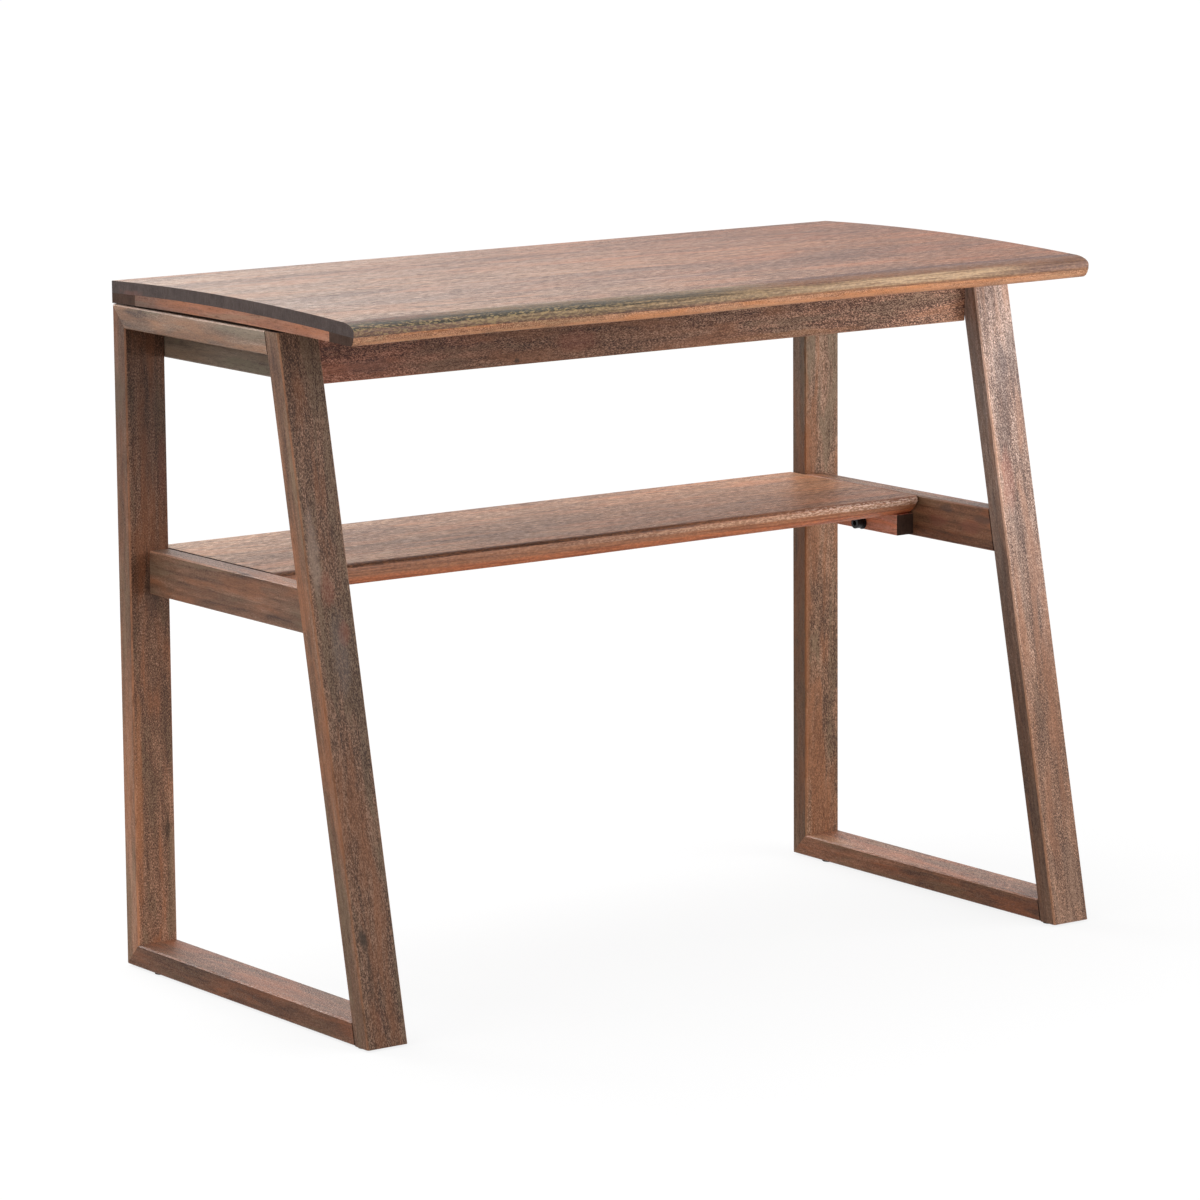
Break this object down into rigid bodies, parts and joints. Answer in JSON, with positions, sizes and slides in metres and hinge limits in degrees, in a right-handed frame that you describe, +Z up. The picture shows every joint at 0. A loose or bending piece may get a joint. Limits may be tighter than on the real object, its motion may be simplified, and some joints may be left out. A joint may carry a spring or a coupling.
{
  "type": "writing desk",
  "caption": "Writing desk with a crowned live-edge worktop, an apron box, slanted trapezoid side frames and a low shelf hung between them.",
  "frame": {"origin": "middle of the bounding box on the floor, under the middle of the worktop", "axes": "+X along the length to the right as seen from the user's side, +Y from the user's side to the back, +Z up"},
  "size_m": [0.98, 0.484, 0.765],
  "materials": {
    "worktop_wood": "satin stained hardwood, pinkish brown, with a pale sapwood front edge",
    "strip_wood": "satin stained hardwood, orange brown",
    "apron_wood": "satin stained hardwood, reddish brown",
    "frame_wood": "satin stained hardwood, dark brown",
    "shelf_wood": "satin stained hardwood, pinkish brown",
    "dowel_wood": "raw beech",
    "black_steel": "black oxide, satin",
    "zinc_steel": "zinc plated",
    "foot_pad": "matte dark plastic"
  },
  "bodies": {
    "root": {"top_back_board": "worktop_wood", "top_second_board": "worktop_wood", "top_middle_board": "worktop_wood", "top_fourth_board": "worktop_wood", "top_front_board": "worktop_wood", "top_back_strip": "strip_wood", "top_front_strip": "strip_wood", "top_left_strip": "strip_wood", "top_right_strip": "strip_wood", "front_apron": "apron_wood", "back_apron": "apron_wood", "left_apron": "apron_wood", "right_apron": "apron_wood", "left_back_leg": "frame_wood", "left_front_leg": "frame_wood", "left_top_rail": "frame_wood", "left_bottom_rail": "frame_wood", "left_mid_rail": "frame_wood", "right_back_leg": "frame_wood", "right_front_leg": "frame_wood", "right_top_rail": "frame_wood", "right_bottom_rail": "frame_wood", "right_mid_rail": "frame_wood", "shelf_back_board": "shelf_wood", "shelf_middle_board": "shelf_wood", "shelf_front_board": "shelf_wood", "left_shelf_cleat": "apron_wood", "right_shelf_cleat": "apron_wood", "left_frame_dowels": "dowel_wood", "right_frame_dowels": "dowel_wood", "apron_dowels": "dowel_wood", "top_screws": "zinc_steel", "shelf_screws": "zinc_steel", "bolts": "black_steel", "flat_washers": "black_steel", "spring_washers": "black_steel", "threaded_inserts": "zinc_steel", "back_left_foot": "foot_pad", "back_right_foot": "foot_pad", "front_left_foot": "foot_pad", "front_right_foot": "foot_pad"}
  },
  "joints": []
}
